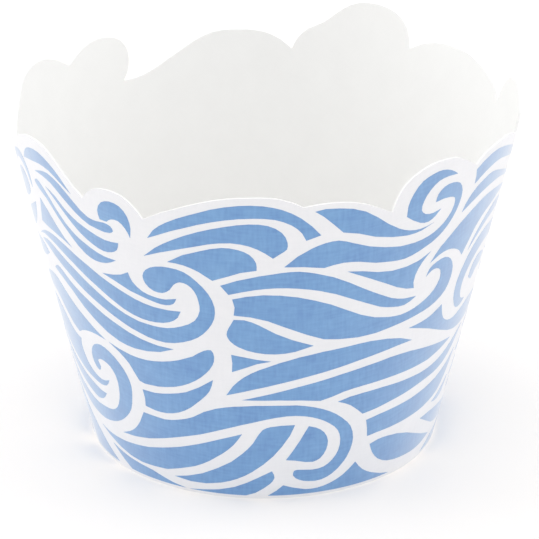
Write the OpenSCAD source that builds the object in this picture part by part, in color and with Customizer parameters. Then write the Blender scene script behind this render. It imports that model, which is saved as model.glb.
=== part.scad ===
// Cupcake wrapper: one strip of white card, cut along a rim of waves, rolled into a cone
// and glued at a lap, with blue wave ornament printed on its outer face.
// The base rests on z = 0. Azimuth 0 faces -Y and grows towards +X.

/* [Sleeve] */
// Outer diameter of the sleeve at its base
base_d = 52; // [46:0.5:60]
// How much the outer radius grows for each millimetre of height
flare = 0.22; // [0.12:0.01:0.3]
// Height of the highest wave above the base
height = 55.8; // [50:0.1:66]
// Thickness of the card
card_t = 0.35; // [0.25:0.05:0.6]

/* [Glued lap] */
// Azimuth of the outer end of the strip, behind the left side, between the drawn points
lap_edge = 265.25; // [258.25:1:268.25]
// Width of the glued lap, in degrees round the sleeve
lap_span = 18; // [12:1:20]
// Stretch over which the strip eases inwards before the lap, in degrees
lap_ease = 75; // [60:1:85]

/* [Print] */
// Thickness of the printed film
ink_t = 0.08; // [0.05:0.01:0.15]
// Azimuth by which the front waves are turned to print the back
back_turn = 186; // [185:0.5:187]

/* [Hidden] */
$fn = 256;

// Height for which the rim and the print are drawn; they stretch with the height
drawn_height = 55.8;
stretch = height / drawn_height;
// Millimetres round the sleeve for one degree, at the middle of its height
degree_mm = 0.56;
// Greatest distance between a drawn curve and its straight steps
edge_tol = 0.05;
// How far a cutter runs past what it cuts
cut_over = 4;
// Shortest distance of a cutter from the axis
cut_near = 8;
// Reach of a cutter from the axis
cut_reach = 60;
// How far inside the card the cutters of two neighbouring waves meet at the crest between them
crest_depth = 0.15;

// A third number marks a point where a curve breaks: 1 is a sharp corner, and CREST is the top
// of a wave, where the curve lies level
CREST = 2;

// Where the strip starts to ease inwards, and where its inner end lies
ease_start = lap_edge - lap_ease;
inner_end = lap_edge + lap_span;
// Shift of the eased turn's axis, which brings the strip's inner end one thickness inside
ease_shift = card_t / sin(inner_end - ease_start);
// Angle before ease_start from which the eased turn is tried; it still lies outside there
ease_lead = 30;
// A field closer than this to the eased stretch, in degrees, follows it too
ease_margin = 1;

function radius(z) = base_d / 2 + flare * z;

// The rim, once round: azimuth, height
RIM = [
    [-58, 52.3, 2], [-54, 52.1], [-51, 51.1], [-48, 49.2], [-45, 47.3], [-42.3, 46, 1],
    [-40, 47.5], [-37.5, 48.3], [-35, 48.5, 2], [-31.5, 48.1], [-28.8, 46.9], [-26.6, 45.1, 1],
    [-22, 46.6], [-16, 48.1], [-10, 49.3], [-5, 49.8], [-1, 49.9, 2], [3, 49.7], [6, 49.1],
    [8.4, 48.3, 1], [11.5, 48.6], [14.5, 48.7, 2], [19, 48.4], [23, 47.6], [26, 46.7], [28.5, 45.9, 1],
    [29.3, 48], [31, 49.9], [34, 51.3], [37, 52], [40, 52.2, 2], [44, 51.9], [48, 50.8], [52, 49.3, 1],
    [54.5, 50.4], [58, 51], [61.5, 51.2, 2], [65.5, 51.1], [70, 50.4], [75, 49.2], [82, 47.9, 1],
    [84.5, 50.5], [89, 51.3], [94, 52], [98, 52.4, 2], [101.5, 52.1], [103.8, 51], [105, 49.5],
    [106, 47.6, 1], [108.5, 49], [113, 50.1], [118, 51.1], [123, 51.8], [129, 52, 2],
    [134, 51.8], [138, 51.1], [141.7, 49.9, 1],
    [143.2, 52.8], [145.5, 54.4], [149, 55.4], [154, 55.8, 2], [158.5, 55.2], [162, 53.7], [165, 52.2],
    [169, 51], [171.5, 49.6], [173, 47.8, 1], [176, 49.2], [180, 50.3], [184, 50.7], [188, 50.8, 2],
    [193, 50.5], [198, 49.3], [203, 47.7], [208, 46.2], [213, 45.2], [218.5, 45, 1],
    [216.8, 46.4], [216, 48.2], [216.2, 49.8], [217.7, 51.2], [220, 51.9], [223.5, 52.2, 2],
    [227, 51.9], [231, 51], [235, 49.7, 1], [238.5, 51], [243, 52], [248, 52.3, 2],
    [252, 52], [257, 51], [262, 49.4], [268, 47.9], [276, 47, 1],
    [281, 47.8], [288, 49.4], [293, 50.7], [298, 51.9], [302, 52.3, 2]
];

// Ribbons of the crest at the front left
LEFT_CREST = [
    [[-65.5, 47.9, 1], [-63, 49.6], [-60, 50.4], [-56, 50.5], [-52, 49.5], [-49, 48],
     [-46.2, 46, 1], [-49.5, 47.2], [-53, 48.3], [-57, 48.6], [-61, 48.3]],
    [[-60.3, 46.9, 1], [-57, 47.5], [-54, 47.7], [-50, 46.8], [-46, 44.9], [-42, 43.2], [-39.5, 43],
     [-37.5, 43.1], [-35.4, 42.8], [-34.9, 42.1], [-36, 41.7], [-39, 41.7], [-42, 42], [-46, 43.2],
     [-50, 44.9], [-53.5, 46.3], [-57, 46.8]],
    [[-56.5, 45.2, 1], [-53, 44.4], [-50, 43], [-46, 41.7], [-42, 40.9], [-38, 40.3],
     [-34, 40.4, 1], [-34.8, 39.2], [-36.5, 38.6], [-39, 38.4], [-42, 38.9], [-46, 40.1],
     [-50, 42], [-53, 43.6]],
    [[-62.2, 45], [-60.7, 45.5], [-57.5, 44.4], [-54, 42.2], [-51, 40.5], [-47, 39], [-43, 38.1],
     [-39, 37.5], [-35.7, 37.4, 1], [-39, 36.5], [-42.5, 36.3], [-45.5, 36.8], [-50, 38.8],
     [-54, 41], [-57.5, 43.1], [-60.8, 44.2]],
    [[-61.6, 42.4, 1], [-59, 41.1], [-56, 39.3], [-53.5, 37.9], [-50.8, 36.8, 1],
     [-54, 37.4], [-58, 37.8], [-64.8, 38.2, 1], [-63.2, 40.2]],
    [[-38.2, 43.5, 1], [-38.4, 44.9], [-36.9, 46.3], [-34.5, 46.8], [-32, 46.4], [-30.3, 45],
     [-29.9, 43.2], [-30.4, 41.7, 1], [-31.4, 43.1], [-33, 44], [-34.8, 44], [-36.3, 43.4, 1]]
];

// The two inner ones of the three nested arches
ARCHES = [
    [[-27.6, 39.3, 1], [-24.5, 40.9], [-20, 42.6], [-14, 44.3], [-8, 45.4], [-3, 45.9], [1, 45.7],
     [4, 44.6], [5.3, 43], [5.2, 42], [3.8, 41.3], [2.2, 40.6, 1], [0.5, 41.4], [-3, 42.5],
     [-7, 42.9], [-12, 42.5], [-18, 41.4], [-23.5, 40.3]],
    [[-21.8, 39, 1], [-18, 40.4], [-14, 41.3], [-9, 42.1], [-5.5, 41.9], [-3, 41.2], [-1.5, 39.9],
     [-1.4, 38.7, 1], [-5, 38.3], [-8, 37.6], [-11.5, 36.8, 1], [-14.5, 38], [-18, 38.8]]
];

// The heart of the curl under the highest front wave, and its long tail
TOP_CURL = [
    [[4.6, 39.2, 1], [7.5, 40.8], [10.5, 41.9], [13.5, 42.6], [16.5, 42.8], [20, 42.1], [24, 41.2],
     [28, 40.6], [32, 40.2], [36, 40.2], [40, 40.6], [43, 41.4], [45.3, 42.6], [46.6, 44.3],
     [46.2, 45.5], [44.5, 45.9], [40.1, 45.8, 1], [40.4, 47], [42, 47.9], [44.5, 48.1], [47, 47.6],
     [48.5, 46.2], [48.4, 44.2], [47, 42.2], [44.5, 40.5], [41.5, 39.4], [38, 38.6], [34, 38],
     [30, 38.1], [26, 38.4], [22, 39], [18, 39.2], [13.6, 38.7, 1], [9, 39.1]]
];

// Ribbons of the crest at the front right, and the curl at the right side
RIGHT_CREST = [
    [[52.4, 48.6, 1], [55, 49.4], [58, 49.9], [61.5, 50], [65, 49.6], [69, 48.9], [73, 48.1],
     [77, 47.1], [80.8, 46.3, 1], [77, 46], [73, 46.5], [69, 47.2], [65, 47.8], [61, 47.9],
     [57, 47.4], [53, 46.3, 1], [52.9, 47.5]],
    [[50.3, 42.4, 1], [52, 44.3], [54.5, 45.5], [57.5, 46.2], [61, 46.5], [65, 46], [69, 45.2],
     [73, 44.4], [77, 43.5], [81, 42.3, 1], [77, 42.8], [72, 43.7], [67, 44.4], [62, 44.5],
     [57.5, 44.1], [53.5, 43.3]],
    [[42.4, 35.9, 1], [45, 38], [48, 39.4], [51, 40.7], [54.5, 41.8], [58, 42.6], [62, 43],
     [66, 42.9], [71, 42.4], [75, 41.8], [80, 40.7, 1], [75, 41], [71, 41.1], [66, 40.5],
     [62, 39.7], [59, 38.3], [57, 36.5], [55.2, 34.8, 1], [53.5, 35.8], [51, 36.6], [48, 37], [45, 36.7]],
    [[58.2, 34.9, 1], [60.5, 37], [63.5, 38.5], [67, 39.5], [71, 40.1], [75, 39.9],
     [79.5, 38.6, 1], [75, 38.3], [71, 38.3], [66.5, 37.9], [62.5, 36.8]]
];

// Waves of the middle of the sleeve, with the largest curl at the front left
MIDDLE_WAVES = [
    [[-70, 35.2, 1], [-66, 36.4], [-62, 37], [-58, 37], [-54, 36.5], [-50, 35.7], [-46, 34.9],
     [-42, 33.9], [-37, 32.8], [-32, 31.8], [-27, 31.2], [-23, 31.1], [-19.8, 31.2, 1],
     [-20.8, 30.1], [-23, 29.2], [-27, 28.7], [-31, 28.8], [-36, 29.6], [-40, 30.7], [-44, 31.9],
     [-48, 33], [-52, 34.1], [-56, 35], [-61, 35.8], [-66, 35.9]],
    [[-69, 34.6, 1], [-65, 35.2], [-61, 34.9], [-56, 33.9], [-52, 33], [-48, 31.9], [-44, 30.8],
     [-40, 29.7], [-36, 28.8], [-32, 28.2], [-28, 28], [-24, 28.1], [-20, 28.8], [-16.5, 30],
     [-15, 31.7], [-15.1, 33.3], [-15.9, 34.8], [-17.3, 35.7], [-19.3, 36], [-20.9, 35.4],
     [-22, 34.5], [-24, 33.8], [-26.3, 33.9], [-28.2, 34.8], [-28.7, 36], [-27.6, 37.1],
     [-25, 37.9], [-21.5, 38.1], [-18, 37.7], [-15.3, 36.5], [-12.6, 34.6], [-11.3, 32.5],
     [-11.6, 30.6], [-13.2, 28.9], [-16, 27.3], [-20, 26.2], [-25, 25.6], [-30, 25.9],
     [-35, 26.7], [-40, 27.8], [-45, 29], [-50, 30.2], [-55, 31.6], [-60, 32.8], [-65, 34]],
    [[-41, 34.6, 1], [-37.5, 34.9], [-35, 35.3], [-32.8, 36, 1], [-31.9, 34.6], [-29.5, 33.4],
     [-26.5, 32.9], [-23.5, 32.8], [-20.6, 33.2, 1], [-21.5, 32.3], [-23.5, 31.9], [-26, 32],
     [-29, 32.4], [-33, 33], [-37, 33.9]],
    [[-64.5, 30.9, 1], [-62, 31.7], [-59.5, 31.4], [-56, 30.3], [-52, 29.3], [-48, 28.4],
     [-44, 27.4], [-40, 26.6], [-36, 25.8], [-32, 25.2], [-27.5, 24.8], [-23, 24.7, 1],
     [-27, 23.8], [-31, 23.4], [-35, 23.3], [-40, 23.7], [-44, 24.5], [-48, 25.7], [-52, 27.1],
     [-56, 28.8], [-60, 30]],
    [[19.2, 37.7, 1], [23, 37.4], [27, 36.8], [31, 36.5], [35, 36.6], [38.5, 37], [41.9, 37.9, 1],
     [39.6, 36.5], [38.2, 34.8], [38, 33.6], [38.5, 32.6, 1], [36, 32.9], [33, 33.6],
     [29.5, 34.7], [25.5, 35.9]],
    [[-9.8, 36.1, 1], [-6, 37], [-1, 37.8], [4, 38.3], [8, 38.4], [12, 37.9], [16, 37.1],
     [20, 35.9], [24, 34.5], [28, 33.2], [32, 32], [36, 31.3], [39.9, 31.1, 1], [36.5, 30.2],
     [33, 30.4], [29, 31], [25, 32.1], [21, 33.2], [17, 34.3], [13, 35.1], [8, 35.7], [3, 35.9],
     [-2, 35.6], [-8, 34.7, 1]],
    [[-7.2, 34, 1], [-4, 34.5], [0, 34.8], [4, 34.7], [8, 34.3], [12, 33.6], [16, 32.7],
     [20, 31.5], [24, 30.3], [28, 29.4], [32, 28.9], [36, 28.7], [40, 29.1], [43.5, 29.9],
     [46.2, 31], [47.6, 32.6], [47, 34], [45.3, 34.6], [43.6, 34.5], [42.1, 33.8, 1], [42.8, 35],
     [45, 35.7], [47.8, 35.9], [50.3, 35.2], [52.2, 33.6], [52.5, 31.8], [51.3, 30], [48, 28.7],
     [44, 28], [39, 27.5], [34, 27.1], [29, 26.7], [24, 26.6], [19, 26.8], [15, 27.1], [11, 28],
     [6, 29.3], [1, 30.6], [-3, 31.2], [-7, 31.4, 1], [-6.7, 32.7]],
    [[-7, 30.7, 1], [-4.5, 30.7], [-1, 29.9], [3, 28.5], [7, 27.4], [12.5, 26.2, 1], [8, 25.4],
     [3, 25.1], [-2, 25.4], [-6, 26.2], [-8.2, 27.2], [-8.9, 28.2], [-8.3, 29.3]],
    [[39.5, 25.9, 1], [43.5, 26.1], [47.5, 26.6], [51.3, 27.6, 1], [52.2, 26.3], [53.8, 24.9],
     [56.5, 24], [60, 23.7], [63.5, 24.1], [68, 24.8], [73, 25], [79, 24.5],
     [85, 23.6, 1], [79, 22.3], [73, 21.4], [68, 21.2], [63, 21.3], [58, 22], [53, 23.1],
     [48, 24.3], [43.5, 25.2]],
    [[64.9, 25.9, 1], [62.8, 25.2], [60, 25.3], [57.8, 26.6], [56.5, 28.4], [56.5, 30.4],
     [58, 32.6], [60.5, 34.5], [63.5, 35.8], [67.5, 36.5], [72, 36.5], [77, 36], [82, 34.9],
     [86.5, 33.2, 1], [82, 33.2], [77, 33.7], [72, 34], [68, 33.8], [64.5, 32.9], [61.8, 31.5],
     [60.3, 29.8], [60.2, 28.2], [61.6, 26.6]],
    [[63.8, 29.4, 1], [64.6, 31], [66.8, 32.1], [70, 32.2], [74, 31.4, 1], [72, 30], [69, 29.8],
     [66.5, 28.6]]
];

// Waves of the lower part of the sleeve
LOWER_WAVES = [
    [[-81, 26.6, 1], [-76, 28], [-71, 28.9], [-67, 29.2], [-63, 28.5], [-59.5, 27.2], [-56, 26],
     [-52, 24.8], [-48.5, 23.7], [-45.5, 22.9, 1], [-49, 23.1], [-53, 22.9], [-56.5, 22.3], [-58.5, 21.7, 1],
     [-61.5, 22.5], [-65, 24.2], [-69, 25.8], [-75, 26.2]],
    [[-44.5, 22.8, 1], [-41, 22.3], [-37, 21.9], [-32, 21.8], [-27, 22.2], [-22, 23], [-18, 24],
     [-14.8, 25.2], [-13, 25.4], [-12.3, 24.3], [-12.9, 22.9], [-15, 21.3], [-18, 19.9],
     [-22, 18.7], [-27, 17.9], [-32, 17.6], [-35.5, 17.8], [-36.4, 18.6], [-38, 20.2],
     [-41, 21.7]],
    [[-35, 16.4, 1], [-31, 16.4], [-26, 16.9], [-21, 17.7], [-17, 18.9], [-13.1, 20.4, 1],
     [-14.3, 18.4], [-16.8, 16.8], [-20, 15.2], [-24, 13.9], [-28, 13.3], [-32, 13.3],
     [-35, 13.6, 1], [-34.7, 15]],
    [[-83, 14.6, 1], [-77, 13.2], [-72, 12.2], [-68, 11.3], [-63, 10.4], [-58, 9.9], [-54, 10],
     [-50, 10.3], [-47.3, 11.2], [-45.3, 13], [-44.4, 15], [-44.6, 17], [-46.2, 18.3], [-48.5, 18.8], [-50.3, 18.8],
     [-51.7, 18.3], [-51, 17.4], [-51.9, 16.6], [-53.4, 17], [-54.3, 18.3], [-53.6, 19.8],
     [-51.5, 21], [-48.5, 21.5], [-45.2, 21], [-42, 19.7], [-39.8, 18], [-39, 16.2],
     [-39.5, 14.4], [-41, 12], [-43.5, 10.4], [-47, 9], [-51, 8.1], [-56, 7.6], [-61, 7.8],
     [-66, 8.6], [-70, 9.6], [-76, 11.6]],
    [[-58.8, 20.5, 1], [-59.6, 19.3], [-59.2, 17.8], [-57.5, 16.3], [-55, 15.4], [-52, 15],
     [-48.2, 15.6, 1], [-50.3, 14.3], [-53, 14], [-57, 14.3], [-61, 14.8], [-66, 16],
     [-71, 17.4], [-78, 19.4], [-85, 22.2, 1], [-80, 23.7], [-75, 24.5], [-71, 24.2],
     [-66.5, 22.7], [-62.5, 21]],
    [[-51.4, 12.7, 1], [-54.5, 12.8], [-58, 13.3], [-62, 13.9], [-67, 15], [-73, 16.4],
     [-80, 18.2, 1], [-75, 15.2], [-70, 13.6], [-66, 12.5], [-61, 11.5], [-57, 11], [-54, 11.4]],
    [[-60, 5.8, 1], [-56, 5.4], [-52, 5.3], [-47, 5.4], [-42, 5.7], [-37, 6.1], [-31, 6.9],
     [-25, 7.8], [-19, 8.9], [-12, 10.3], [-5.9, 11.4, 1], [-8.5, 9.4], [-12, 7.7], [-16, 6.2],
     [-21, 4.8], [-26, 3.9], [-31, 3.1], [-36, 2.9], [-41, 2.8], [-46, 3.1], [-51, 3.8],
     [-56, 4.8]],
    [[-55, 3.6, 1], [-51, 3], [-47, 2.6], [-42, 2.3], [-37, 2], [-33, 1.4], [-29.5, 0.9],
     [-25, 0.5, 1], [-47, 0.5, 1], [-50, 1.5], [-52.5, 2.5]],
    [[-24, 0.5, 1], [-19, 0.8], [-14, 1.2], [-9, 1.9], [-5, 2.8], [-1, 3.9], [2.6, 4.9, 1],
     [3.4, 3.7], [2, 2.6], [0, 1.8], [-2.5, 1], [-5.5, 0.5, 1]],
    [[-84, 11, 1], [-78, 9.6], [-71, 7.3], [-67, 5.6], [-63, 4], [-59, 2.3], [-53.8, 0.5, 1],
     [-70, 0.5, 1], [-74, 4], [-79, 8]],
    [[-28.7, 2.2, 1], [-24, 2.8], [-19, 3.7], [-14, 5], [-9.5, 6.4], [-6, 8], [-3, 9.8],
     [-1.3, 11.4], [-0.2, 12.2], [2, 12.7], [5, 12.9], [8.9, 12.9, 1], [7.6, 11.1], [5.5, 9.3],
     [3, 7.6], [0, 6.1], [-3.5, 4.7], [-8, 3.4], [-13, 2.5], [-18, 2], [-23, 1.9]],
    [[12.8, 12.5, 1], [15, 12.1], [17.5, 11.1], [18.9, 9.5], [18.6, 8], [17, 6.6], [14.8, 6.1],
     [12.5, 6.2], [9.5, 6.6], [6.6, 6.8, 1], [8.5, 8.3], [10.5, 10.1], [11.8, 11.5]],
    [[-47.5, 6.9, 1], [-44, 7.7], [-41, 8.8], [-38.5, 10.3], [-36.3, 12.3, 1], [-33, 12.2],
     [-29, 12.1], [-24.5, 12.6], [-20, 13.5], [-16.5, 14.7], [-13, 15.5], [-8, 16.1], [-2, 16.4],
     [4, 16.4], [9, 16.3], [14, 15.7], [18.5, 14.7], [22.5, 13.2], [25.5, 11.4], [26.9, 9.2],
     [26.5, 7.2], [24.5, 5], [21.5, 3.5], [18, 2.7], [14, 2.7], [11, 3.1], [9, 4], [9.3, 4.8],
     [11, 4.9], [15, 4.7], [18.5, 5], [21, 6], [22.6, 7.5], [22.8, 9.5], [21.7, 11.1],
     [19, 12.5], [15.5, 13.6], [11.5, 14.3], [6.5, 14.5], [0, 13.9], [-6, 13], [-12, 11.9],
     [-18, 10.7], [-24, 9.7], [-30, 8.7], [-36, 7.8], [-42, 7.2]],
    [[1.3, 0.5, 1], [4, 1.4], [6, 2.3, 1], [9, 1.8], [13, 1.3], [17, 1.3], [21, 1.8], [25, 2.8],
     [29, 4.7, 1], [32, 3], [36, 1.8], [40, 1], [44, 0.5, 1]],
    [[-8, 24.9, 1], [-5, 24.6], [-1.5, 24.2], [2, 23.9, 1], [-1.5, 23.5], [-4.5, 22.8],
     [-8, 22, 1], [-7.8, 23.5]],
    [[-9.9, 18, 1], [-8, 19.6], [-5, 21.2], [-1, 22.5], [4, 23.6], [9, 24.4], [15, 25], [21, 25.3],
     [28, 25.5], [33, 25.2], [37.5, 24.6], [41.8, 23.6, 1], [37, 23.5], [31, 23.1], [25, 22.6],
     [18, 21.8], [11, 21], [4, 20.1], [-3, 19.1]],
    [[-5.8, 17.3, 1], [-1, 18], [4, 18.7], [9, 19.4], [15, 20.1], [21, 20.8], [28, 21.4],
     [35, 21.8], [42, 21.7], [49, 21.1], [55, 20.6], [62, 20.1, 1], [57, 19.3], [51, 18.6],
     [44, 18.4], [36, 18.3], [28, 18.1], [22, 17.7], [18.5, 17.1], [15.5, 16.7, 1], [10, 17.1],
     [4, 17.3]],
    [[20.5, 16.1, 1], [24, 16.6], [28, 16.8], [34, 16.9], [41, 16.8], [48, 16.8], [54, 17.1],
     [60, 18], [65, 19.3], [70, 20.6, 1], [66, 17.9], [61, 16.1], [56, 15.4], [50, 15],
     [44, 14.4], [38, 13.9], [33, 13.4], [28.8, 13.1, 1], [27, 14], [24.5, 15.1]],
    [[30.4, 11.8, 1], [35, 12.2], [41, 12.5], [47, 12.8], [53, 13.3], [59, 14], [64, 15],
     [69.5, 16.6, 1], [66.5, 13.2], [62.5, 11], [58, 10.2], [52, 9.6], [46, 9.3], [40, 9.1],
     [35, 9], [31.7, 8.8, 1], [31.2, 10.3]],
    [[60.5, 9.4, 1], [64.5, 10.2], [70, 12, 1], [68.5, 9.9], [65, 9.1]],
    [[33.2, 7.2, 1], [36, 7.6], [40, 7.6], [44, 7.3], [49, 6.5], [54, 5.4], [59, 4.3],
     [65.5, 3.1, 1], [60, 2.4], [54, 2.2], [48, 2.4], [42, 2.9], [37.5, 4], [34.8, 5.5]],
    [[55, 7.7, 1], [60, 7.8], [65, 7.6], [72, 7.2], [79, 6.4], [86, 5.2, 1],
     [79, 4.4], [72, 4.2], [65, 5], [60, 6.3]]
];

// Waves that lie along the rim at the front: outer arch, lower arch and the curl's crescent
FRONT_RIM_WAVES = [
    [[-26, 42.3, 1], [-24.3, 43.7], [-21, 45.2], [-16, 46.7], [-11, 47.9], [-5, 48.7], [0, 48.7],
     [4, 48.1], [8, 46.7], [12.5, 43.9, 1], [9.3, 43.2, 1], [8.3, 44.4], [6, 45.7], [2.5, 46.6],
     [-2, 46.8], [-8, 46.4], [-14, 45.4], [-20, 44]],
    [[10.8, 47.6, 1], [13, 47.9], [16, 47.8], [19, 47.5], [22, 46.8], [25, 45.6], [28, 44.2],
     [31, 43.1], [34, 42.4], [37, 42.2], [40.8, 42.6, 1], [37.5, 41.9], [33.5, 41.7], [29.5, 42],
     [25, 42.6], [21, 43.5], [17.3, 44, 1], [15, 45.4], [12.8, 46.7]],
    [[42.2, 44.5, 1], [40.8, 43.6], [39, 43], [36.5, 43.2], [34.3, 43.9], [32.4, 44.7, 1],
     [32.3, 46.3], [33.2, 48.1], [35.2, 49.8], [37.8, 50.5], [40.2, 50.7], [42.7, 50.3],
     [45.4, 49.3, 1], [42.5, 49.4], [39.8, 49.1], [37.7, 48], [36.4, 46.5], [36.3, 45.1],
     [37.6, 44.4], [40, 44.2]]
];

// The same three along the rim at the back, and two crescents in its highest wave
BACK_RIM_WAVES = [
    [[160, 42.4, 1], [163, 43.9], [167, 45.2], [171, 46.1], [175, 47.3], [179, 48.4], [183, 49.2],
     [187, 49.5], [191.5, 49.1], [195.5, 47.4], [198.5, 43.9, 1], [195.3, 43.2, 1], [194.3, 44.6],
     [192, 45.9], [188.5, 46.9], [184, 47.2], [178, 46.6], [172, 45.3], [166, 43.9]],
    [[197.3, 47.2, 1], [199.5, 47.4], [203, 46.3], [207, 45], [211, 44], [215, 43.4], [219, 43],
     [223, 42.7], [226.8, 42.6, 1], [223.5, 41.9], [219.5, 41.7], [215.5, 41.9], [211, 42.5],
     [207, 43.4], [203.3, 44, 1], [201, 45.2], [199, 46.3]],
    [[228.2, 44.5, 1], [226.8, 43.6], [225, 43.1], [222.5, 43.2], [220.8, 43.7], [219.8, 44.4, 1],
     [219.3, 46.3], [219.9, 48.1], [221.6, 49.7], [224, 50.5], [226.4, 50.5], [228.9, 50],
     [231.4, 49, 1], [228.5, 49.1], [225.8, 48.9], [223.7, 48], [222.4, 46.5], [222.3, 45.1],
     [223.6, 44.4], [226, 44.2]],
    [[144.4, 48.6, 1], [144.9, 51], [147, 53], [150.5, 54.1], [154.5, 54.3], [158.5, 53.6],
     [162, 52.1], [165, 50.6], [168, 49.4], [170.8, 48, 1], [167, 48.4], [163.5, 49.3],
     [160, 50.8], [156.5, 52], [152.5, 52.2], [149.2, 51.5], [147.2, 50], [146, 47.8, 1]],
    [[148, 47.9, 1], [149.3, 49.7], [152.3, 50.6], [155.8, 50.4], [159.2, 49.2], [163, 47.9],
     [166.5, 47.1], [169.8, 46.9, 1], [165.5, 45.9], [161.5, 46.3], [158, 47.5], [154.5, 48.6],
     [151.5, 48.8], [149.6, 48.3]]
];

// Waves round the right side, between the front and the back
RIGHT_SIDE = [
    [[85.5, 47.6, 1], [87, 49.4], [91, 50.4], [95.5, 51], [99.5, 50.9], [102.3, 49.7],
     [103.4, 48], [103.2, 46.2, 1], [101.6, 47.7], [99, 48.7], [95, 48.7], [90.5, 48]],
    [[82.8, 44.8, 1], [86, 45.6], [90, 46.4], [95, 47.1], [99, 47], [101.4, 45.6], [102.1, 43.6],
     [101.4, 41.6, 1], [99.8, 43.6], [97, 45], [92.5, 44.8], [87, 44]],
    [[82.3, 41.4, 1], [86, 42.3], [90, 43], [94, 43.3], [97, 42.5], [98.8, 40.8], [99, 38.7],
     [97.8, 36.9, 1], [96.5, 39.4], [94, 41.1], [90, 41.3], [86, 40.7]],
    [[80.8, 38, 1], [84, 39], [88, 39.6], [92, 39.4], [94.8, 38], [95.8, 36], [95, 34, 1],
     [93, 36.2], [89.5, 37.6], [84.5, 37.4]],
    [[107.2, 45.4, 1], [109, 47.1], [113, 48.5], [117, 49.5], [119.8, 49.3, 1], [117, 47.7],
     [113, 46.8], [109.5, 46.3]],
    [[104.9, 42.2, 1], [107, 43.8], [111, 44.9], [115.5, 45.8], [119.5, 46, 1], [116, 43.9],
     [112, 42.9], [108, 42.6]],
    [[102.3, 38.6, 1], [105.5, 40.4], [110, 41.5], [115, 42.5], [120, 43.5, 1], [117, 41.5],
     [112.5, 40], [107, 39.1]],
    [[99.3, 34.6, 1], [103, 37], [108, 38.3], [113, 39.2], [118.4, 40.3, 1], [114.5, 37.7],
     [109.5, 36.3], [104, 35.6]],
    [[84.5, 36.2, 1], [87.5, 36.2], [90.3, 35.2], [92.2, 33.7], [93, 32.8, 1], [89.8, 33.4],
     [88, 34.4], [86.2, 35.2]],
    [[86.8, 24, 1], [90, 24.7], [94, 25], [98, 24.9], [102.6, 25.2, 1], [99, 23.6], [95, 22.9],
     [90.5, 23]],
    [[79, 30.6, 1], [85, 31.6], [91, 31.6], [97, 31.9], [103, 33], [109, 34.1], [113.5, 34.2, 1],
     [109, 32.4], [103, 30.9], [97, 29.9], [91, 29.5], [85, 29.7]],
    [[76, 27.9, 1], [82, 28.2], [88, 27.9], [94, 28], [100, 29], [107, 30.9], [113, 32.2],
     [118.5, 32.4, 1], [113.5, 30.3], [108, 28.7], [102, 27], [96, 25.9], [89, 25.8], [82, 26.6]],
    [[74.5, 19, 1], [80, 20.4], [86, 21.5], [92, 21.9], [98.4, 20.7, 1], [93, 19], [87, 18.2],
     [80, 18]],
    [[72.5, 15.4, 1], [78, 16.5], [85, 16.8], [92, 17.5], [99, 18.8], [103.8, 18.8, 1],
     [100, 16.9], [94, 15.2], [87, 14.4], [79, 14.4]],
    [[73, 11.4, 1], [79, 12.8], [86, 12.9], [93, 13.5], [98, 14.8], [101.6, 15.2, 1],
     [98.5, 12.9], [93, 11.4], [86, 10.9], [79, 10.9]],
    [[74, 9, 1], [80, 9.4], [86, 9], [92, 9.1], [98.4, 10.4, 1], [94.4, 7.8], [88, 7.1],
     [81, 7.8]],
    [[62, 0.5, 1], [68, 1.9], [75, 2.8], [83, 3], [91, 3.7], [97, 5.1], [102, 7.4, 1],
     [105.5, 4.6], [109, 2.4], [113.5, 0.5, 1]]
];

// Waves round the left side, between the back and the front
LEFT_SIDE = [
    [[-90, 43.8, 1], [-84, 44.8], [-79, 46.2], [-75, 47.3], [-71, 48.1], [-68, 48], [-66, 46.9],
     [-65, 45.2], [-65.4, 43.2, 1], [-66.3, 44.7], [-67.7, 46], [-69.7, 46.6], [-72.5, 46.5],
     [-77, 45.1], [-82, 43.6]],
    [[-91, 39.3, 1], [-86, 40.5], [-81, 42.2], [-77, 43.7], [-73.5, 44.9], [-70.8, 45.1],
     [-68.7, 44.5], [-67.9, 43.3], [-68.6, 42], [-70.5, 41], [-74, 40.2], [-79, 39.4],
     [-85, 38.7]],
    [[-66.2, 40.8, 1], [-69, 40], [-73, 38.9], [-79, 37.6], [-86, 36.9], [-92, 37, 1],
     [-87, 35.2], [-81, 34.7], [-76, 35.1], [-71.5, 36.6], [-68.3, 38.6]],
    [[-66.3, 32.7, 1], [-69, 33.6], [-73, 33.9], [-79, 33.3], [-84, 33.2], [-86.2, 33.5, 1],
     [-85, 31.6], [-80, 30.9], [-74, 31.1], [-69, 31.8]],
    [[-79.5, 29.3, 1], [-84, 29.8], [-89, 30.9], [-93.5, 32.3, 1], [-92, 29.3], [-88.5, 27.5],
     [-83.5, 26.7, 1], [-82, 28]],
    [[-101.5, 18.6, 1], [-96, 20.2], [-91, 21.4], [-87, 20.6, 1], [-90, 18.6], [-95, 17.3]],
    [[-102.5, 13.6, 1], [-97, 15.2], [-90, 16.5], [-83.4, 16.9, 1], [-88, 14.8], [-95, 12.9]],
    [[-101.5, 9, 1], [-97, 10.8], [-92, 11.9], [-87.4, 12.2, 1], [-89.5, 10], [-95, 8.5]],
    [[-112, 0.5, 1], [-106, 1.9], [-99, 2.7], [-92, 3], [-85.5, 4.2, 1], [-81, 2.4],
     [-77, 0.5, 1]]
];

// Fields that are printed at the front and again, turned, at the back
REPEATED = concat(LEFT_CREST, ARCHES, TOP_CURL, RIGHT_CREST, MIDDLE_WAVES, LOWER_WAVES);
PRINT = concat(
    REPEATED, FRONT_RIM_WAVES, RIGHT_SIDE, LEFT_SIDE, BACK_RIM_WAVES,
    [for (p = REPEATED) turned(p, back_turn)]
);

// A drawn point in millimetres, measured on the unrolled card
function flat(p) = [p[0] * degree_mm, p[1]];
function is_break(p) = len(p) > 2;

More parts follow.
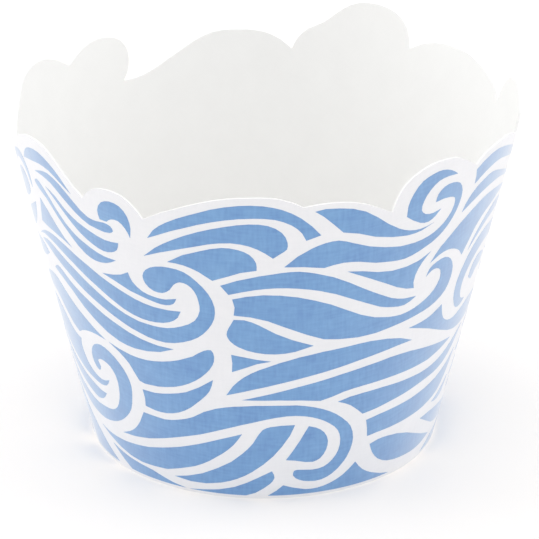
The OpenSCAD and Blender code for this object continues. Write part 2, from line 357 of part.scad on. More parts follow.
// Direction of the curve at a point that it passes smoothly, from the points before and after
function through(a, b, c) =
    let (d = norm(b - a), e = norm(c - b))
    ((b - a) / d * e + (c - b) / e * d) / (d + e);

// Direction at the free end of a curve whose next point has the direction m
function at_end(a, b, m) = 1.5 * (b - a) / norm(b - a) - 0.5 * m;

// Direction of an open curve at its point i; a crest lies level
function heading(p, i) =
    let (n = len(p) - 1, q = [for (x = p) flat(x)])
    p[i][2] == CREST ? [1, 0] :
    n == 1 ? (q[1] - q[0]) / norm(q[1] - q[0]) :
    i == 0 ? at_end(q[0], q[1], through(q[0], q[1], q[2])) :
    i == n ? -at_end(q[n], q[n - 1], -through(q[n - 2], q[n - 1], q[n])) :
    through(q[i - 1], q[i], q[i + 1]);

// Steps that keep a stretch within edge_tol of its curve
function steps(d, m, k) =
    let (cosine = m * k / (norm(m) * norm(k)), turn = acos(min(1, max(-1, cosine))) * PI / 180)
    max(1, ceil(sqrt(d * turn / (8 * edge_tol))));

// Point of the stretch from a to b, with directions m and k, at t from 0 to 1
function on_stretch(a, b, m, k, t) =
    let (d = norm(b - a))
    (2 * t ^ 3 - 3 * t ^ 2 + 1) * a + (t ^ 3 - 2 * t ^ 2 + t) * d * m +
    (3 * t ^ 2 - 2 * t ^ 3) * b + (t ^ 3 - t ^ 2) * d * k;

// An open curve through drawn points, without its last point
function curve(p) = [
    for (i = [0 : len(p) - 2])
        let (a = flat(p[i]), b = flat(p[i + 1]), m = heading(p, i), k = heading(p, i + 1))
        let (n = steps(norm(b - a), m, k))
        for (j = [0 : n - 1]) on_stretch(a, b, m, k, j / n)
];

// The drawn points from number i to the next break, which is included
function to_break(p, i) =
    let (n = len(p), ends = [for (j = [i + 1 : i + n]) if (is_break(p[j % n])) j])
    [for (j = [i : ends[0]]) p[j % n]];

// The closed outline of a printed field: curves from break to break, from its first point on
function outline(p) =
    let (starts = [for (i = [0 : len(p) - 1]) if (is_break(p[i])) i])
    [for (s = starts) each curve(to_break(p, s))];

// Curves of a stretch of the rim, from one crest to the next
function rim_curve(p) =
    let (starts = [for (i = [0 : len(p) - 2]) if (is_break(p[i])) i])
    concat([for (s = starts) each curve(to_break(p, s))], [flat(p[len(p) - 1])]);

// Points seen along the radius at the azimuth c, from the flat points of a curve that lies
// at a depth inside the sleeve's outer face
function seen(q, c, depth) = [for (x = q)
    let (a = x[0] / degree_mm, z = x[1] * stretch) [(radius(z) - depth) * sin(a - c), z]];

function middle_azimuth(p) = (min([for (x = p) x[0]]) + max([for (x = p) x[0]])) / 2;

// Field p turned round the sleeve by an angle
function turned(p, angle) = [
    for (x = p) is_break(x) ? [x[0] + angle, x[1], x[2]] : [x[0] + angle, x[1]]
];

// A straight bar with the given section, seen along the radius at the azimuth c
module bar_towards(c, section) {
    rotate([0, 0, c]) rotate([90, 0, 0]) translate([0, 0, cut_near])
        linear_extrude(cut_reach - cut_near) polygon(section);
}

// All that lies inside a full turn, at a distance from the sleeve's outer face
module turn(offset, over) {
    translate([0, 0, -over]) cylinder(
        h = height + cut_over + 2 * over,
        r1 = radius(-over) + offset,
        r2 = radius(height + cut_over + over) + offset
    );
}

// The full turn, with its own start and end where the eased turn takes its place
module full_turn(offset, over) {
    rotate([0, 0, (ease_start + lap_edge) / 2 - 90]) turn(offset, over);
}

// The same turn shifted across ease_start: it crosses the full turn there and lies inside it
// from there on, one card thickness at the strip's inner end
module eased_turn(offset) {
    translate(ease_shift * [-cos(ease_start), -sin(ease_start), 0]) turn(offset, 3 * cut_over);
}

// What lies between two azimuths, less than half a turn apart
module sector(from, to) {
    middle = (from + to) / 2;
    reach = 2 * cut_reach;
    translate([0, 0, -2 * cut_over]) linear_extrude(height + 5 * cut_over)
        polygon([[0, 0], for (a = [from, middle, to]) reach * [sin(a), -cos(a)]]);
}

// All that lies inside the strip's face, which is eased inwards up to the azimuth end
module inside_strip(offset, end, over) {
    difference() {
        full_turn(offset, over);
        difference() {
            sector(ease_start - ease_lead, end);
            eased_turn(offset);
        }
    }
}

// What lies above the rim between two crests
module above_rim(p) {
    c = middle_azimuth(p);
    rim = seen(rim_curve(p), c, card_t + crest_depth);
    last = len(rim) - 1;
    top = height + 2 * cut_over;
    bar_towards(c, concat(rim, [
        [rim[last][0] + cut_over, rim[last][1]], [rim[last][0] + cut_over, top],
        [rim[0][0] - cut_over, top], [rim[0][0] - cut_over, rim[0][1]]
    ]));
}

// The strip: its outer face ends at the lap, and its inner face runs on under the lap
module sleeve() {
    crests = [for (i = [0 : len(RIM) - 1]) if (RIM[i][2] == CREST) i];
    color("white") difference() {
        inside_strip(0, lap_edge, 0);
        inside_strip(-card_t, inner_end, cut_over);
        for (i = [0 : len(crests) - 2])
            above_rim([for (j = [crests[i] : crests[i + 1]]) RIM[j]]);
    }
}

// One printed field on the outer face
module field(p) {
    azimuths = [for (x = p) x[0]];
    on_full_turn = max(azimuths) < ease_start - ease_margin
        && min(azimuths) > lap_edge - 360 + ease_margin;
    difference() {
        intersection() {
            if (on_full_turn) full_turn(ink_t, 0);
            else inside_strip(ink_t, lap_edge, 0);
            bar_towards(middle_azimuth(p), seen(outline(p), middle_azimuth(p), 0));
        }
        if (on_full_turn) full_turn(0, cut_over);
        else inside_strip(0, lap_edge, cut_over);
    }
}

module wave_print() {
    color("#7ba5d6") for (p = PRINT) field(p);
}

sleeve();
wave_print();
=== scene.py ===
"""Dresses the cupcake wrapper: its rolled white card, its blue wave print and a bright studio.

The frame's two solids give every outline. Each is taken as a flat outline on the unrolled card, cut
to a fine grid, made a thin plate and rolled back into the cone, so that the card has its true
thickness, its cut edge and a glued lap of two layers. Lengths are in metres.
"""

from __future__ import annotations

import logging
import math
from dataclasses import dataclass
from enum import Enum

import bmesh
import bpy
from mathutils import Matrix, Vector

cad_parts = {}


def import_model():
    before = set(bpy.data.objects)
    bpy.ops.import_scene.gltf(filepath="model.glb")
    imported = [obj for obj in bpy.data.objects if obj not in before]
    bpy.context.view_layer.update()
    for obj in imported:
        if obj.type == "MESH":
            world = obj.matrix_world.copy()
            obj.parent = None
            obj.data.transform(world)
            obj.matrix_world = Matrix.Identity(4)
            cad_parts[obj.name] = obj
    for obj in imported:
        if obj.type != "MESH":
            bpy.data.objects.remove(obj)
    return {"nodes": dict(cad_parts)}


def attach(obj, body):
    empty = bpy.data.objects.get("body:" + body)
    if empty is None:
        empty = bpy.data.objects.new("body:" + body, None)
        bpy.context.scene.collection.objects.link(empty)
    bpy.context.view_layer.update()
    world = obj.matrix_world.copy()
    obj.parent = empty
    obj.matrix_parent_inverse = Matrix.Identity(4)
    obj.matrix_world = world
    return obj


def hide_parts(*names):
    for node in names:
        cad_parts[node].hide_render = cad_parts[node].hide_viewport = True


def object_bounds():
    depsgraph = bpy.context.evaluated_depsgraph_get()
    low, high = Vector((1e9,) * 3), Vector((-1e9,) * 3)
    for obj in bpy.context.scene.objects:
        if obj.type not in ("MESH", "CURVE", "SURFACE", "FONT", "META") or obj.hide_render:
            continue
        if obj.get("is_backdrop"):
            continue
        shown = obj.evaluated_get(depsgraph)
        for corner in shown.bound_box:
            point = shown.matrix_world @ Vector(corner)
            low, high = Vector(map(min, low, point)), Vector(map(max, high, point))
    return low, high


LOG = logging.getLogger("cupcake_wrapper")

MM = 0.001
FULL_TURN = 2 * math.pi
SHEET_UV = "sheet"
ON_THE_TABLE = 0.01 * MM
THREAD_STRETCH = 0.16
PULP_DETAIL = 4.0

Colour = tuple[float, float, float]


class Face(Enum):
    """Material places of a rolled plate: its outer face, its cut edge and its inner face."""

    OUTER = 0
    CUT_EDGE = 1
    INNER = 2


def linear(red: int, green: int, blue: int) -> Colour:
    """Turns a colour of screen values into the linear values that shaders take.

    Args:
        red: Red from 0 to 255.
        green: Green from 0 to 255.
        blue: Blue from 0 to 255.

    Returns:
        The three linear values, from 0 to 1.
    """

    def one(value: int) -> float:
        share = value / 255
        return share / 12.92 if share <= 0.04045 else ((share + 0.055) / 1.055) ** 2.4

    return one(red), one(green), one(blue)


def rgba(colour: Colour) -> tuple[float, float, float, float]:
    """Adds a full alpha to a colour."""
    return (*colour, 1.0)


@dataclass(frozen=True)
class RolledCone:
    """The cone that the card is rolled into, and the glued lap where its two ends meet.

    Azimuth 0 is the front, at -Y, and grows towards +X. On the unrolled card a point has its
    azimuth times the girth radius along X, its depth under the outer face along Y and its height
    along Z.
    """

    base_radius: float
    flare: float
    card: float = 0.35 * MM
    lap_edge: float = math.radians(265.25)
    lap_span: float = math.radians(18)
    lap_ease: float = math.radians(75)
    glue_gap: float = 0.01 * MM
    girth_radius: float = 32 * MM
    sheet_span: float = 0.25

    @classmethod
    def measured(cls, sleeve: bpy.types.Object) -> RolledCone:
        """Reads the cone's base radius and flare from the frame's sleeve.

        Args:
            sleeve: The frame's sleeve, at rest.

        Returns:
            The cone of the sleeve's outer face.
        """
        points = [(math.hypot(v.co.x, v.co.y), v.co.z) for v in sleeve.data.vertices]
        base = max(reach for reach, height in points if height < ON_THE_TABLE)
        reach, height = max(points)
        return cls(base_radius=base, flare=(reach - base) / height)

    @property
    def inner_end(self) -> float:
        """Azimuth of the strip's inner end, under the lap."""
        return self.lap_edge + self.lap_span

    def azimuth(self, point: Vector) -> float:
        """Azimuth of a point of the rolled card, from the lap's edge once round."""
        turn = math.atan2(point.x, -point.y)
        start = self.lap_edge - FULL_TURN
        return start + (turn - start) % FULL_TURN

    def inward(self, azimuth: float) -> float:
        """How far the strip is drawn inwards where it runs up to the lap and under it.

        Args:
            azimuth: Azimuth on the strip, in radians.

        Returns:
            The distance from the full cone.
        """
        share = (azimuth - self.lap_edge + self.lap_ease) / self.lap_ease
        share = min(1.0, max(0.0, share))
        return (self.card + self.glue_gap) * share * share * (3 - 2 * share)

    def rolled(self, flat: Vector, lift: float) -> Vector:
        """Place on the rolled card of a point of the flat card.

        Args:
            flat: The point on the flat card.
            lift: How far the plate's outer face stands above the card's.

        Returns:
            The point in the frame.
        """
        azimuth = flat.x / self.girth_radius
        reach = self.base_radius + self.flare * flat.z + lift - flat.y - self.inward(azimuth)
        return Vector((reach * math.sin(azimuth), -reach * math.cos(azimuth), flat.z))

    def sheet(self, flat: Vector) -> tuple[float, float]:
        """Place of a point of the flat card on the sheet that the blank was cut from.

        Args:
            flat: The point on the flat card.

        Returns:
            The point's place on the sheet, where 1 is the sheet's span.
        """
        slant = math.sqrt(1 + self.flare**2)
        reach = (self.base_radius / self.flare + flat.z) * slant
        turn = flat.x / self.girth_radius * self.flare / slant
        start = self.base_radius / self.flare * slant
        return (
            0.5 + reach * math.sin(turn) / self.sheet_span,
            (reach * math.cos(turn) - start) / self.sheet_span,
        )


@dataclass
class FlatPlate:
    """A thin plate cut to the outlines of one of the frame's solids, and rolled into the cone."""

    cone: RolledCone
    source: bpy.types.Object
    thickness: float
    lift: float = 0.0
    column: float = math.radians(2)
    row: float = 4 * MM
    weld: float = 0.002 * MM
    flat_angle: float = math.radians(0.3)
    sharp_angle: float = math.radians(40)
    side_share: float = 0.5

    def outlines(self) -> bmesh.types.BMesh:
        """Unrolls the outward faces of the solid and joins them into flat outlines.

        Returns:
            A flat mesh in the plane of the card's outer face, one face for each outline.
        """
        plate = bmesh.new()
        plate.from_mesh(self.source.data)
        bmesh.ops.remove_doubles(plate, verts=plate.verts, dist=self.weld)
        plate.normal_update()
        hidden = [f for f in plate.faces if not self._looks_outwards(f)]
        bmesh.ops.delete(plate, geom=hidden, context="FACES")
        for vertex in plate.verts:
            around = self.cone.azimuth(vertex.link_faces[0].calc_center_median())
            turn = self.cone.azimuth(vertex.co) - around
            turn -= FULL_TURN * round(turn / FULL_TURN)
            vertex.co = Vector(((around + turn) * self.cone.girth_radius, 0, vertex.co.z))
        self.join(plate)
        return plate

    def _looks_outwards(self, face: bmesh.types.BMFace) -> bool:
        """Says whether a face of the solid is part of its outer side."""
        centre = face.calc_center_median()
        outwards = Vector((centre.x, centre.y, 0)).normalized()
        return face.normal.dot(outwards) > self.side_share

    def join(self, plate: bmesh.types.BMesh) -> None:
        """Joins faces of the flat plate that lie side by side.

        Args:
            plate: The flat mesh, which is changed.
        """
        bmesh.ops.remove_doubles(plate, verts=plate.verts, dist=self.weld)
        bmesh.ops.dissolve_limit(
            plate,
            angle_limit=self.flat_angle,
            use_dissolve_boundaries=False,
            verts=plate.verts,
            edges=plate.edges,
        )

    def cut_to_grid(self, plate: bmesh.types.BMesh) -> None:
        """Cuts the flat plate into columns and rows, fine enough to roll smoothly.

        Args:
            plate: The flat mesh, which is changed.
        """
        along = [v.co.x for v in plate.verts]
        up = [v.co.z for v in plate.verts]
        step = self.column * self.cone.girth_radius
        for number in range(math.ceil(min(along) / step), math.floor(max(along) / step) + 1):
            self._cut(plate, Vector((number * step, 0, 0)), Vector((1, 0, 0)))
        for number in range(1, math.ceil(max(up) / self.row)):
            self._cut(plate, Vector((0, 0, number * self.row)), Vector((0, 0, 1)))
        bmesh.ops.triangulate(
            plate, faces=plate.faces, quad_method="BEAUTY", ngon_method="BEAUTY"
        )

    def _cut(self, plate: bmesh.types.BMesh, place: Vector, along: Vector) -> None:
        """Cuts the whole plate with a plane."""
        everything = [*plate.verts, *plate.edges, *plate.faces]
        bmesh.ops.bisect_plane(
            plate, geom=everything, dist=self.weld, plane_co=place, plane_no=along
        )

    def thicken(self, plate: bmesh.types.BMesh) -> None:
        """Gives the flat plate its thickness and marks its cut edge.

        Args:
            plate: The flat mesh, which is changed.
        """
        copy = bmesh.ops.extrude_face_region(plate, geom=plate.faces[:], use_keep_orig=True)
        moved = [v for v in copy["geom"] if isinstance(v, bmesh.types.BMVert)]
        bmesh.ops.translate(plate, verts=moved, vec=Vector((0, self.thickness, 0)))
        bmesh.ops.recalc_face_normals(plate, faces=plate.faces)
        for face in plate.faces:
            face.material_index = self._side(face).value
            face.smooth = True

    def _side(self, face: bmesh.types.BMFace) -> Face:
        """Says which side of the flat plate a face lies on."""
        if abs(face.normal.y) < self.side_share:
            return Face.CUT_EDGE
        return Face.OUTER if face.normal.y < 0 else Face.INNER

    def roll(self, plate: bmesh.types.BMesh) -> None:
        """Writes each point's place on the sheet, then rolls the plate into the cone.

        Args:
            plate: The flat plate, which is changed.
        """
        layer = plate.loops.layers.uv.new(SHEET_UV)
        for face in plate.faces:
            for loop in face.loops:
                loop[layer].uv = self.cone.sheet(loop.vert.co)
        for vertex in plate.verts:
            vertex.co = self.cone.rolled(vertex.co, self.lift)

    def made(self, plate: bmesh.types.BMesh, name: str) -> bpy.types.Object:
        """Turns the rolled plate into an object, with its cut edges sharp.

        Args:
            plate: The rolled plate, which is freed.
            name: The piece's name.

        Returns:
            The new object, linked to the scene.
        """
        mesh = bpy.data.meshes.new(name)
        plate.to_mesh(mesh)
        plate.free()
        mesh.set_sharp_from_angle(angle=self.sharp_angle)
        piece = bpy.data.objects.new(name, mesh)
        bpy.context.scene.collection.objects.link(piece)
        return piece


class ShaderGraph:
    """A node tree with short calls to add nodes and join them."""

    def __init__(self, tree: bpy.types.NodeTree) -> None:
        """Keeps the tree that the nodes go to."""
        self.tree = tree

    def add(self, kind: str, **settings: object) -> bpy.types.Node:
        """Adds a node.

        Args:
            kind: The node's type.
            **settings: Properties of the node.

        Returns:
            The new node.
        """
        node = self.tree.nodes.new(kind)
        for name, value in settings.items():
            setattr(node, name, value)
        return node

    def join(self, source: bpy.types.NodeSocket, target: bpy.types.NodeSocket) -> None:
        """Links two sockets."""
        self.tree.links.new(source, target)

    def maths(self, operation: str, *values: object) -> bpy.types.NodeSocket:
        """Adds a Math node.

        Args:
            operation: The node's operation.
            *values: Its inputs, each a socket or a number.

        Returns:
            The node's result.
        """
        node = self.add("ShaderNodeMath", operation=operation)
        for target, value in zip(node.inputs, values):
            if isinstance(value, bpy.types.NodeSocket):
                self.join(value, target)
            else:
                target.default_value = value
        return node.outputs[0]

    def mixed(
        self, share: bpy.types.NodeSocket, first: object, second: object
    ) -> bpy.types.NodeSocket:
        """Mixes two colours.

        Args:
            share: How much of the second colour.
            first: A colour or a socket.
            second: A colour or a socket.

        Returns:
            The mixed colour.
        """
        node = self.add("ShaderNodeMix", data_type="RGBA")
        self.join(share, node.inputs["Factor"])
        for target, value in ((node.inputs[6], first), (node.inputs[7], second)):
            if isinstance(value, bpy.types.NodeSocket):
                self.join(value, target)
            else:
                target.default_value = rgba(value)
        return node.outputs[2]

    def noise(self, place: bpy.types.NodeSocket, scale: float) -> bpy.types.NodeSocket:
        """Adds a noise texture.

        Args:
            place: Where the noise is read.
            scale: The noise's scale.

        Returns:
            The noise, from 0 to 1.
        """
        node = self.add("ShaderNodeTexNoise")
        node.inputs["Scale"].default_value = scale
        self.join(place, node.inputs["Vector"])
        return node.outputs[0]

    def stretched(
        self, place: bpy.types.NodeSocket, scale: tuple[float, float, float]
    ) -> bpy.types.NodeSocket:
        """Scales a place by a plain amount along each axis.

        Args:
            place: The place.
            scale: The three amounts.

        Returns:
            The scaled place.
        """
        node = self.add("ShaderNodeMapping")
        node.inputs["Scale"].default_value = scale
        self.join(place, node.inputs["Vector"])
        return node.outputs[0]


class GroupBook:
    """The shader node groups that several finishes share, each built once."""

    def __init__(self) -> None:
        """Builds the groups."""
        self.linen = self._linen()
        self.pulp = self._pulp()

    def _new(
        self, name: str, inputs: dict[str, float], outputs: tuple[str, ...]
    ) -> tuple[ShaderGraph, bpy.types.Node, bpy.types.Node]:
        """Starts a group with a place to read and named inputs and outputs.

        Args:
            name: The group's name.
            inputs: Names and default values of its numbers.
            outputs: Names of the values that it puts out.

        Returns:
            The group's graph, its input node and its output node.
        """
        tree = bpy.data.node_groups.new(name, "ShaderNodeTree")
        tree.interface.new_socket("Place", in_out="INPUT", socket_type="NodeSocketVector")
        for label, value in inputs.items():
            socket = tree.interface.new_socket(
                label, in_out="INPUT", socket_type="NodeSocketFloat"
            )
            socket.default_value = value
        for label in outputs:
            tree.interface.new_socket(label, in_out="OUTPUT", socket_type="NodeSocketFloat")
        graph = ShaderGraph(tree)
        return graph, graph.add("NodeGroupInput"), graph.add("NodeGroupOutput")

    def _linen(self) -> bpy.types.NodeTree:
        """Builds the fine crossed threads that are pressed into the board."""
        graph, given, result = self._new(
            "Linen press", {"Threads": 2.4, "Contrast": 2.6}, ("Shade", "Height")
        )
        place = graph.add("ShaderNodeVectorMath", operation="SCALE")
        graph.join(given.outputs["Place"], place.inputs[0])
        graph.join(given.outputs["Threads"], place.inputs["Scale"])
        directions = ((THREAD_STRETCH, 1.0, 1.0), (1.0, THREAD_STRETCH, 1.0))
        level, upright = (
            graph.noise(graph.stretched(place.outputs[0], direction), 1.0)
            for direction in directions
        )
        crossed = graph.maths("ADD", level, upright)
        threads = graph.maths("MULTIPLY", crossed, 0.5)
        graph.join(threads, result.inputs["Height"])
        graph.join(self._stronger(graph, threads, given), result.inputs["Shade"])
        return graph.tree

    def _pulp(self) -> bpy.types.NodeTree:
        """Builds the clouds and fibres of paper pulp."""
        graph, given, result = self._new(
            "Paper pulp",
            {"Cloud scale": 0.22, "Fibre scale": 5.0, "Contrast": 2.0},
            ("Clouds", "Fibres"),
        )
        for label, output in (("Cloud scale", "Clouds"), ("Fibre scale", "Fibres")):
            node = graph.add("ShaderNodeTexNoise")
            node.inputs["Detail"].default_value = PULP_DETAIL
            graph.join(given.outputs["Place"], node.inputs["Vector"])
            graph.join(given.outputs[label], node.inputs["Scale"])
            graph.join(self._stronger(graph, node.outputs[0], given), result.inputs[output])
        return graph.tree

    def _stronger(
        self, graph: ShaderGraph, value: bpy.types.NodeSocket, given: bpy.types.Node
    ) -> bpy.types.NodeSocket:
        """Spreads a value away from its middle by the group's contrast.

        Args:
            graph: The group's graph.
            value: The value, which lies round 0.5.
            given: The group's input node.

        Returns:
            The spread value, from 0 to 1.
        """
        spread = graph.add("ShaderNodeMath", operation="MULTIPLY")
        graph.join(graph.maths("SUBTRACT", value, 0.5), spread.inputs[0])
        graph.join(given.outputs["Contrast"], spread.inputs[1])
        raised = graph.add("ShaderNodeMath", operation="ADD", use_clamp=True)
        graph.join(spread.outputs[0], raised.inputs[0])
        raised.inputs[1].default_value = 0.5
        return raised.outputs[0]


@dataclass(frozen=True)
class PaperFinish:
    """A matt surface of printed or plain board, with pressed linen threads and pulp clouds."""

    name: str
    light: Colour
    dark: Colour
    roughness: float
    thread_share: float
    cloud_share: float
    relief: float
    specular: float = 0.3
    bump_strength: float = 0.6
    fibre_roughness: float = 0.2
    sheen: float = 0.0
    sheen_roughness: float = 0.45
    varnish: float = 0.0
    varnish_roughness: float = 0.5

    def material(self, groups: GroupBook, cone: RolledCone) -> bpy.types.Material:
        """Builds the material.

        Args:
            groups: The shared node groups.
            cone: The cone, whose sheet span sets the pattern's scale.

        Returns:
            The material.
        """
        made = bpy.data.materials.new(self.name)
        made.use_nodes = True
        graph = ShaderGraph(made.node_tree)
        shader = graph.tree.nodes["Principled BSDF"]
        sheet = graph.add("ShaderNodeUVMap", uv_map=SHEET_UV)
        span = cone.sheet_span / MM
        place = graph.stretched(sheet.outputs[0], (span, span, span))
        linen = graph.add("ShaderNodeGroup", node_tree=groups.linen)
        pulp = graph.add("ShaderNodeGroup", node_tree=groups.pulp)
        for group in (linen, pulp):
            graph.join(place, group.inputs["Place"])
        threads = graph.maths("MULTIPLY", linen.outputs["Shade"], self.thread_share)
        clouds = graph.maths("MULTIPLY", pulp.outputs["Clouds"], self.cloud_share)
        shade = graph.maths("ADD", threads, clouds)
        graph.join(graph.mixed(shade, self.light, self.dark), shader.inputs["Base Color"])
        rough = graph.maths("MULTIPLY", pulp.outputs["Fibres"], self.fibre_roughness)
        least = self.roughness - self.fibre_roughness / 2
        graph.join(graph.maths("ADD", rough, least), shader.inputs["Roughness"])
        shader.inputs["Specular IOR Level"].default_value = self.specular
        shader.inputs["Sheen Weight"].default_value = self.sheen
        shader.inputs["Sheen Roughness"].default_value = self.sheen_roughness
        shader.inputs["Coat Weight"].default_value = self.varnish
        shader.inputs["Coat Roughness"].default_value = self.varnish_roughness
        height = graph.maths("ADD", linen.outputs["Height"], pulp.outputs["Fibres"])
        bump = graph.add("ShaderNodeBump")
        bump.inputs["Strength"].default_value = self.bump_strength
        bump.inputs["Distance"].default_value = self.relief
        graph.join(height, bump.inputs["Height"])
        graph.join(bump.outputs[0], shader.inputs["Normal"])
        return made


WHITE_CARD = PaperFinish(
    name="white_card",
    light=linear(241, 242, 246),
    dark=linear(230, 232, 237),
    roughness=0.5,
    thread_share=0.35,
    cloud_share=0.35,
    relief=0.01 * MM,
    specular=0.4,
)
# Painted light: the inner face is a lighter, warmer copy of the white card, painted to brighten the
# inside of the cup.
INNER_CARD_PAINTED_LIGHTER = PaperFinish(
    name="inner_card_painted_lighter",
    light=linear(246, 246, 245),
    dark=linear(241, 241, 240),
    roughness=0.6,
    thread_share=0.2,
    cloud_share=0.4,
    relief=0.01 * MM,
)
CUT_CARD = PaperFinish(
    name="cut_card",
    light=linear(248, 248, 248),
    dark=linear(234, 234, 234),
    roughness=0.85,
    thread_share=0.3,
    cloud_share=0.3,
    relief=0.02 * MM,
)
BLUE_INK = PaperFinish(
    name="blue_ink",
    light=linear(95, 159, 213),
    dark=linear(36, 117, 189),
    roughness=0.38,
    thread_share=0.6,
    cloud_share=0.4,
    relief=0.01 * MM,
    specular=1.0,
    sheen=1.0,
    varnish=1.0,
)


@dataclass
class CardSleeve:
    """The strip of card: one plate with its waves cut in the rim, rolled and lapped."""

    cone: RolledCone
    node: bpy.types.Object
    seam_weld: float = 0.1 * MM

    def build(self, groups: GroupBook) -> bpy.types.Object:
        """Builds the rolled sleeve.

        Args:
            groups: The shared node groups.

        Returns:
            The finished piece.
        """
        cutter = FlatPlate(self.cone, self.node, self.cone.card)
        plate = cutter.outlines()
        self._add_lap(cutter, plate)
        cutter.cut_to_grid(plate)
        cutter.thicken(plate)
        cutter.roll(plate)
        piece = cutter.made(plate, "card_sleeve")
        # The inner face takes the card colour that is painted lighter, which stands in for light
        # inside the cup.
        for finish in (WHITE_CARD, CUT_CARD, INNER_CARD_PAINTED_LIGHTER):
            piece.data.materials.append(finish.material(groups, self.cone))
        return piece

    def _add_lap(self, cutter: FlatPlate, plate: bmesh.types.BMesh) -> None:
        """Lengthens the strip by its inner layer under the lap.

        The layer has the outline of the strip's first stretch, because both were cut together.

        Args:
            cutter: The plate's maker.
            plate: The flat outlines, which are changed.
        """
        copy = bmesh.ops.duplicate(plate, geom=[*plate.verts, *plate.edges, *plate.faces])
        layer = copy["geom"]
        verts = [v for v in layer if isinstance(v, bmesh.types.BMVert)]
        girth = FULL_TURN * self.cone.girth_radius
        bmesh.ops.translate(plate, verts=verts, vec=Vector((girth, 0, 0)))
        bmesh.ops.bisect_plane(
            plate,
            geom=layer,
            dist=cutter.weld,
            plane_co=Vector((self.cone.inner_end * self.cone.girth_radius, 0, 0)),
            plane_no=Vector((1, 0, 0)),
            clear_outer=True,
        )
        seam = self.cone.lap_edge * self.cone.girth_radius
        near = [v for v in plate.verts if abs(v.co.x - seam) < self.seam_weld]
        bmesh.ops.remove_doubles(plate, verts=near, dist=self.seam_weld)
        cutter.join(plate)


@dataclass
class WavePrint:
    """The printed waves: a thin skin of ink on the card's outer face."""

    cone: RolledCone
    node: bpy.types.Object
    skin: float = 0.03 * MM
    proud: float = 0.02 * MM

    def build(self, groups: GroupBook) -> bpy.types.Object:
        """Builds the printed skin.

        Args:
            groups: The shared node groups.

        Returns:
            The finished piece.
        """
        cutter = FlatPlate(self.cone, self.node, self.skin, lift=self.proud)
        plate = cutter.outlines()
        cutter.cut_to_grid(plate)
        cutter.thicken(plate)
        cutter.roll(plate)
        piece = cutter.made(plate, "wave_print_skin")
        ink = BLUE_INK.material(groups, self.cone)
        for _ in Face:
            piece.data.materials.append(ink)
        return piece


@dataclass(frozen=True)
class Lamp:
    """A soft square lamp that looks at the object's middle."""

    name: str
    place: Vector
    width: float
    power: float


SOFTBOXES = (
    Lamp("left_softbox", Vector((-0.6, 0.16, 0.25)), 0.6, 1.35),
    Lamp("right_softbox", Vector((0.6, 0.15, 0.25)), 0.6, 1.05),
    Lamp("top_softbox", Vector((0, -0.25, 0.7)), 0.5, 0.5),
)


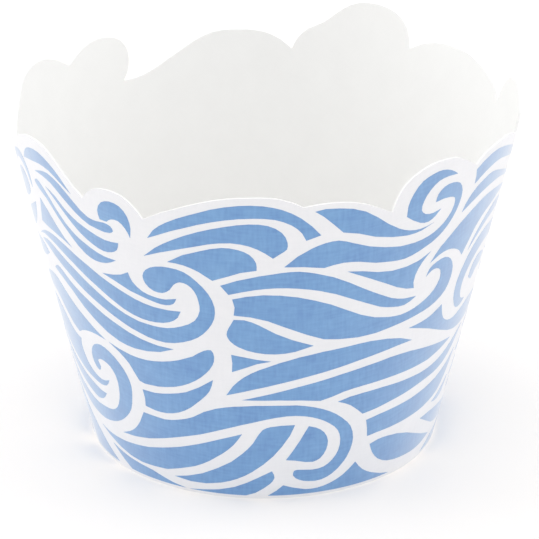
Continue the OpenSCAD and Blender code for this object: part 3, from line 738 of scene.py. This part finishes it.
@dataclass
class Studio:
    """The pale floor, the soft light and the camera."""

    target: Vector
    sky: float = 0.76
    sky_towards_top: float = 0.3
    floor_size: float = 8.0
    floor_colour: Colour = (0.93, 0.9, 0.87)
    floor_lift: float = 0.05
    camera_place: tuple[float, float, float] = (0.86 * MM, -316.4 * MM, 156.0 * MM)
    camera_down: float = math.radians(22.56)
    focal_pixels: float = 2300.0
    picture_pixels: float = 539.0
    sensor: float = 36.0
    nearest: float = 0.01

    def build(self) -> None:
        """Builds the floor, the world, the lamps and the camera."""
        bpy.context.scene.view_settings.view_transform = "Standard"
        self._floor()
        self._world()
        for lamp in SOFTBOXES:
            self._lamp(lamp)
        self._camera()

    def _floor(self) -> None:
        """Builds the white floor, which keeps the object's shadow."""
        plane = bmesh.new()
        bmesh.ops.create_grid(plane, x_segments=1, y_segments=1, size=self.floor_size / 2)
        mesh = bpy.data.meshes.new("floor")
        plane.to_mesh(mesh)
        plane.free()
        floor = bpy.data.objects.new("floor", mesh)
        bpy.context.scene.collection.objects.link(floor)
        made = bpy.data.materials.new("floor_white")
        made.use_nodes = True
        graph = ShaderGraph(made.node_tree)
        shader = graph.tree.nodes["Principled BSDF"]
        shader.inputs["Base Color"].default_value = rgba(self.floor_colour)
        shader.inputs["Roughness"].default_value = 1.0
        shader.inputs["Specular IOR Level"].default_value = 0.0
        shader.inputs["Emission Color"].default_value = rgba((1.0, 1.0, 1.0))
        lift = graph.maths("MULTIPLY", self._seen(graph), self.floor_lift)
        graph.join(lift, shader.inputs["Emission Strength"])
        mesh.materials.append(made)
        floor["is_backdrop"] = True

    def _seen(self, graph: ShaderGraph) -> bpy.types.NodeSocket:
        """A value of 1 for what the camera, gloss and clear things see."""
        path = graph.add("ShaderNodeLightPath")
        first = graph.maths(
            "MAXIMUM", path.outputs["Is Camera Ray"], path.outputs["Is Glossy Ray"]
        )
        return graph.maths("MAXIMUM", first, path.outputs["Is Transmission Ray"])

    def _world(self) -> None:
        """Lights the studio evenly, with white behind the object."""
        world = bpy.data.worlds.new("white_studio")
        bpy.context.scene.world = world
        world.use_nodes = True
        graph = ShaderGraph(world.node_tree)
        sky = graph.tree.nodes["Background"]
        sky.inputs["Color"].default_value = rgba((1.0, 1.0, 1.0))
        place = graph.add("ShaderNodeTexCoord")
        split = graph.add("ShaderNodeSeparateXYZ")
        graph.join(place.outputs["Generated"], split.inputs[0])
        rise = graph.maths("MAXIMUM", split.outputs[2], 0.0)
        level = graph.maths("MULTIPLY_ADD", rise, self.sky_towards_top, self.sky)
        seen = self._seen(graph)
        white = graph.maths("MULTIPLY", graph.maths("SUBTRACT", 1.0, level), seen)
        graph.join(graph.maths("ADD", white, level), sky.inputs["Strength"])

    def _lamp(self, lamp: Lamp) -> None:
        """Hangs a lamp.

        Args:
            lamp: Where it hangs and how strong it is.
        """
        data = bpy.data.lights.new(lamp.name, "AREA")
        data.shape = "SQUARE"
        data.size = lamp.width
        data.energy = lamp.power
        light = bpy.data.objects.new(lamp.name, data)
        light.location = lamp.place
        light.rotation_euler = (self.target - lamp.place).to_track_quat("-Z", "Y").to_euler()
        bpy.context.scene.collection.objects.link(light)

    def _camera(self) -> None:
        """Sets the camera at the photograph's view."""
        data = bpy.data.cameras.new("camera")
        data.sensor_width = self.sensor
        data.lens = self.focal_pixels / self.picture_pixels * self.sensor
        data.clip_start = self.nearest
        camera = bpy.data.objects.new("camera", data)
        camera.location = self.camera_place
        camera.rotation_euler = (math.pi / 2 - self.camera_down, 0, 0)
        bpy.context.scene.collection.objects.link(camera)
        bpy.context.scene.camera = camera


def dress(piece: bpy.types.Object, node: str) -> None:
    """Lets a piece stand for a node of the frame and ride with it.

    Args:
        piece: The new piece.
        node: The node that it stands for.
    """
    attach(piece, "root")
    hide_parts(node)
    LOG.info("%s stands for %s, %d faces", piece.name, node, len(piece.data.polygons))


def main() -> None:
    """Builds the wrapper and the studio around it."""
    logging.basicConfig(level=logging.INFO, format="%(name)s: %(message)s")
    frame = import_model()
    cad_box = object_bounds()
    nodes = frame["nodes"]
    cone = RolledCone.measured(nodes["sleeve"])
    LOG.info("base radius %.2f mm, flare %.4f", cone.base_radius / MM, cone.flare)
    groups = GroupBook()
    dress(CardSleeve(cone, nodes["sleeve"]).build(groups), "sleeve")
    dress(WavePrint(cone, nodes["wave_print"]).build(groups), "wave_print")
    Studio(target=Vector((0, 0, cad_box[1].z / 2))).build()


if __name__ == "__main__":
    main()
